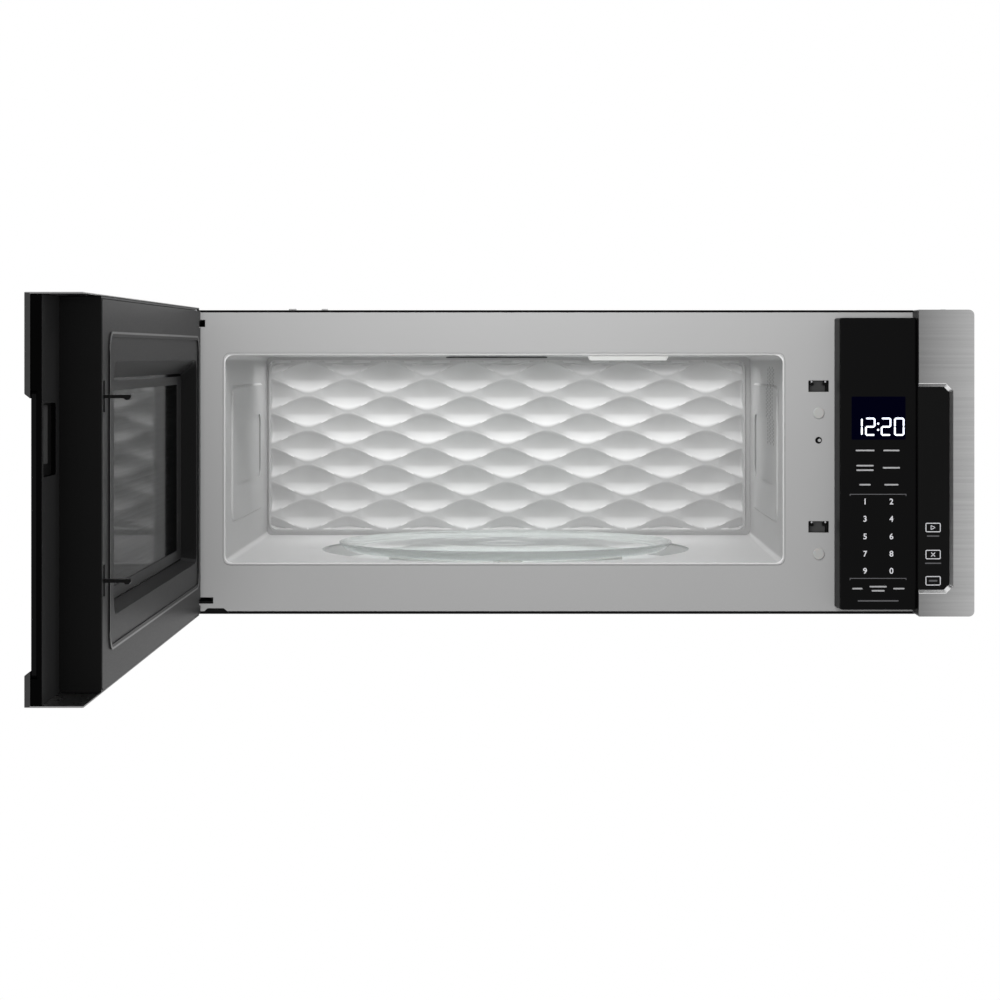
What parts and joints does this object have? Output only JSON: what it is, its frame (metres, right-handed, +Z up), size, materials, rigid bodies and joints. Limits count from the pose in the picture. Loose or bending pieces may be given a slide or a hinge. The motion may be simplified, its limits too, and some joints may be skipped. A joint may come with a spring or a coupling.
{
  "type": "over the range microwave hood",
  "caption": "Low over-the-range microwave hood with a side-hinged door, quilted cavity wall, glass turntable, keypad and vent blower.",
  "frame": {"origin": "on the wall plane behind the wall plate, in the middle of the width and the height", "axes": "+X to the keypad side (right, seen from the room), +Y to the wall, +Z up"},
  "size_m": [0.759, 1.1535, 0.2918],
  "materials": {
    "black_paint": "satin black powder coat",
    "steel_sheet": "plain zinc-coated steel",
    "brushed_face": "fine horizontal brushing",
    "grey_enamel": "satin mid grey enamel",
    "white_enamel": "glossy light grey enamel",
    "black_plastic": "fine-grained black moulding",
    "grey_plastic": "satin dark grey moulding",
    "pale_plastic": "translucent pale moulding",
    "black_glass": "tinted glass, polished",
    "clear_glass": "clear glass with a faint green edge",
    "display": "dark display filter",
    "mica": "grey mica sheet",
    "copper": "enamelled winding and laminations",
    "board": "circuit board",
    "dark_screen": "black perforated screen"
  },
  "bodies": {
    "root": {"outer_cover": "black_paint", "base_pan": "black_paint", "rear_panel": "steel_sheet", "wall_plate": "steel_sheet", "front_plate": "grey_enamel", "hole_plug_upper": "pale_plastic", "hole_plug_lower": "pale_plastic", "hinge_upper": "steel_sheet", "hinge_lower": "steel_sheet", "cavity_shell": "white_enamel", "waveguide": "steel_sheet", "waveguide_cover": "mica", "cavity_lamp_cover": "pale_plastic", "cavity_lamp": "pale_plastic", "cavity_back": "white_enamel", "turntable_motor": "steel_sheet", "keypad_housing": "black_plastic", "keypad_glass": "black_glass", "display_module": "display", "control_board": "board", "end_trim": "brushed_face", "touch_pocket": "black_plastic", "latch_keeper": "black_plastic", "door_switch_upper": "black_plastic", "door_switch_lower": "black_plastic", "magnetron": "steel_sheet", "transformer": "copper", "capacitor": "steel_sheet", "fan_frame": "black_plastic", "blower_scroll_left": "steel_sheet", "blower_scroll_right": "steel_sheet", "blower_motor": "steel_sheet", "damper_frame": "black_plastic", "grease_filter_left": "steel_sheet", "grease_filter_right": "steel_sheet", "task_lens_left": "pale_plastic", "task_lamp_left": "board", "task_lens_right": "pale_plastic", "task_lamp_right": "board", "cord_grommet": "black_plastic"},
    "door": {"door_skin": "brushed_face", "door_glass": "black_glass", "door_pan": "black_paint", "door_cover": "grey_plastic", "hinge_block_upper": "steel_sheet", "hinge_block_lower": "steel_sheet", "door_inner_glass": "clear_glass", "door_screen": "dark_screen", "door_end_cover": "black_plastic", "latch_spring": "steel_sheet"},
    "latch": {"latch_bar": "black_plastic"},
    "tray": {"glass_tray": "clear_glass", "turntable_hub": "pale_plastic"},
    "ring": {"roller_ring": "pale_plastic"},
    "roller_1": {"roller_1": "pale_plastic"},
    "roller_2": {"roller_2": "pale_plastic"},
    "roller_3": {"roller_3": "pale_plastic"},
    "fan": {"fan_blades": "grey_plastic"},
    "blower": {"blower_rotor": "grey_plastic"},
    "damper": {"damper_flap": "steel_sheet"}
  },
  "joints": [
    {"name": "door_hinge", "type": "hinge", "parent": "root", "child": "door", "pos_m": [-0.3715, -0.456, 0], "axis": [0, 0, 1], "range_deg": [0, 90]},
    {"name": "latch_slide", "type": "slide", "parent": "door", "child": "latch", "axis": [0, 0, 1], "range_m": [0, 0.0035], "stiffness_N_per_m": 400, "springref_m": -0.004, "deforming": ["latch_spring"]},
    {"name": "tray_spin", "type": "hinge", "parent": "root", "child": "tray", "pos_m": [-0.0555, -0.227, 0], "axis": [0, 0, 1], "continuous": true},
    {"name": "ring_spin", "type": "hinge", "parent": "root", "child": "ring", "pos_m": [-0.0555, -0.227, 0], "axis": [0, 0, 1], "continuous": true},
    {"name": "roller_1_spin", "type": "hinge", "parent": "ring", "child": "roller_1", "pos_m": [0.05015, -0.166, -0.10205], "axis": [0.866, 0.5, 0], "continuous": true},
    {"name": "roller_2_spin", "type": "hinge", "parent": "ring", "child": "roller_2", "pos_m": [-0.16115, -0.166, -0.10205], "axis": [-0.866, 0.5, 0], "continuous": true},
    {"name": "roller_3_spin", "type": "hinge", "parent": "ring", "child": "roller_3", "pos_m": [-0.0555, -0.349, -0.10205], "axis": [0, -1, 0], "continuous": true},
    {"name": "fan_spin", "type": "hinge", "parent": "root", "child": "fan", "pos_m": [0.2647, -0.126, 0.05], "axis": [0, 1, 0], "continuous": true},
    {"name": "blower_spin", "type": "hinge", "parent": "root", "child": "blower", "pos_m": [0.295, -0.0551, 0.0074], "axis": [1, 0, 0], "continuous": true},
    {"name": "damper_swing", "type": "hinge", "parent": "root", "child": "damper", "pos_m": [0, -0.0905, 0.1379], "axis": [1, 0, 0], "range_deg": [0, 70]}
  ],
  "couplings": [
    {"joint": "ring_spin", "follows": "tray_spin", "ratio": 0.5},
    {"joint": "roller_1_spin", "follows": "tray_spin", "ratio": -11.091},
    {"joint": "roller_2_spin", "follows": "tray_spin", "ratio": -11.091},
    {"joint": "roller_3_spin", "follows": "tray_spin", "ratio": -11.091}
  ]
}
